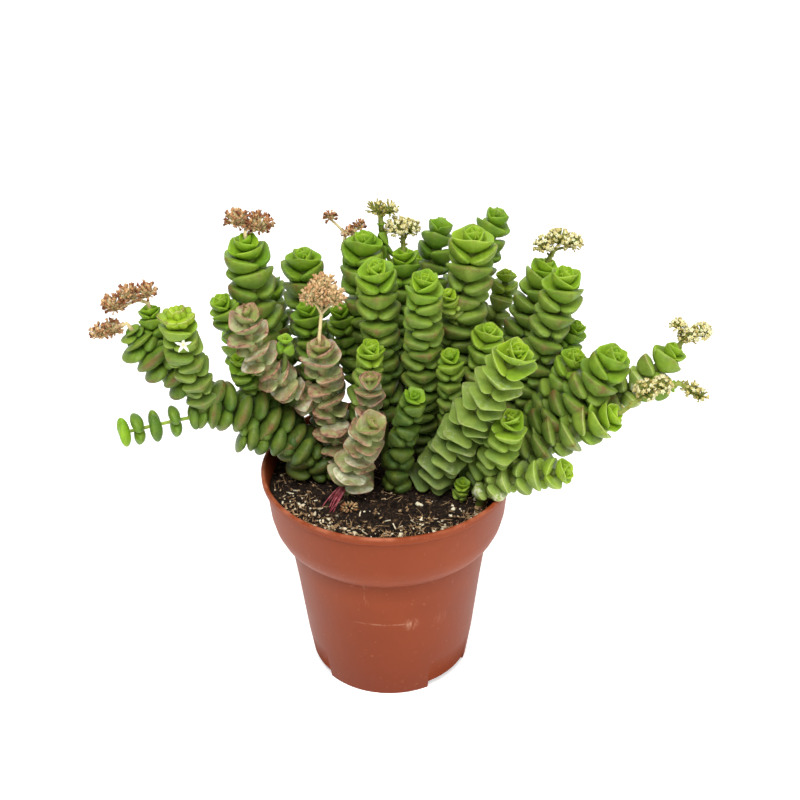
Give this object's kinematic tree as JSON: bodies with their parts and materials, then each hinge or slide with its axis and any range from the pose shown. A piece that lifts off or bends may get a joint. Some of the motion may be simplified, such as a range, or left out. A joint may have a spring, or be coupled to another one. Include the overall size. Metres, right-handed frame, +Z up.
{
  "type": "potted succulent",
  "caption": "Necklace crassula in a plastic nursery pot: upright and trailing columns of stacked fleshy leaf pairs, rosette tips and small flower heads over dark peat.",
  "frame": {"origin": "middle of the pot's flat underside", "axes": "+Z up from the table through the pot's rim, -Y towards the viewer of the picture, +X to the viewer's right, along the plant's widest spread"},
  "size_m": [0.2762, 0.1473, 0.2343],
  "materials": {
    "terracotta_plastic": "satin moulded plastic, terracotta colour, lightly scuffed",
    "peat": "dark fibrous peat with perlite and bark",
    "green_leaf": "fleshy leaf, satin, bright green tips and reddish keels",
    "dry_leaf": "drying leaf, sage green with pinkish brown edges",
    "faded_flower": "dry brown florets",
    "cream_flower": "cream florets with green calyces",
    "red_root": "thin red aerial roots"
  },
  "bodies": {
    "root": {"pot": "terracotta_plastic", "soil": "peat", "stem_front_leaning": "green_leaf", "stem_front_sprout": "green_leaf", "stem_front_short": "green_leaf", "stem_front_over_rim": "green_leaf", "stem_front_centre": "green_leaf", "stem_dry_low": "dry_leaf", "stem_dry_middle": "dry_leaf", "stem_dry_flowering": "dry_leaf", "stem_dry_left": "dry_leaf", "stem_left_arch": "green_leaf", "stem_left_low": "green_leaf", "stem_left_tall": "green_leaf", "stem_left_back": "green_leaf", "stem_left_inner": "green_leaf", "stem_middle_tall": "green_leaf", "stem_middle_front": "green_leaf", "stem_middle_short": "green_leaf", "stem_centre_tall": "green_leaf", "stem_centre_inner": "green_leaf", "stem_centre_back": "green_leaf", "stem_right_back_tall": "green_leaf", "stem_right_thick": "green_leaf", "stem_right_small": "green_leaf", "stem_right_inner": "green_leaf", "stem_right_back_small": "green_leaf", "stem_right_flowering": "green_leaf", "stem_right_outer": "green_leaf", "stem_right_middle": "green_leaf", "stem_right_forked": "green_leaf", "stem_right_low": "green_leaf", "stem_back_left": "green_leaf", "stem_back_far_left": "green_leaf", "stem_back_inner_left": "green_leaf", "stem_back_middle": "green_leaf", "stem_back_inner_right": "green_leaf", "stem_back_right": "green_leaf", "flowers_left_forked": "faded_flower", "flowers_left_crown": "faded_flower", "flowers_left_tall": "faded_flower", "flowers_dry_flowering": "faded_flower", "flowers_middle_spray": "faded_flower", "flowers_centre_stalk": "cream_flower", "flowers_centre_inner": "cream_flower", "flowers_right_flowering": "cream_flower", "flowers_right_low": "cream_flower", "flowers_right_reach": "cream_flower", "flowers_right_reach_low": "cream_flower", "aerial_roots": "red_root"}
  },
  "joints": []
}
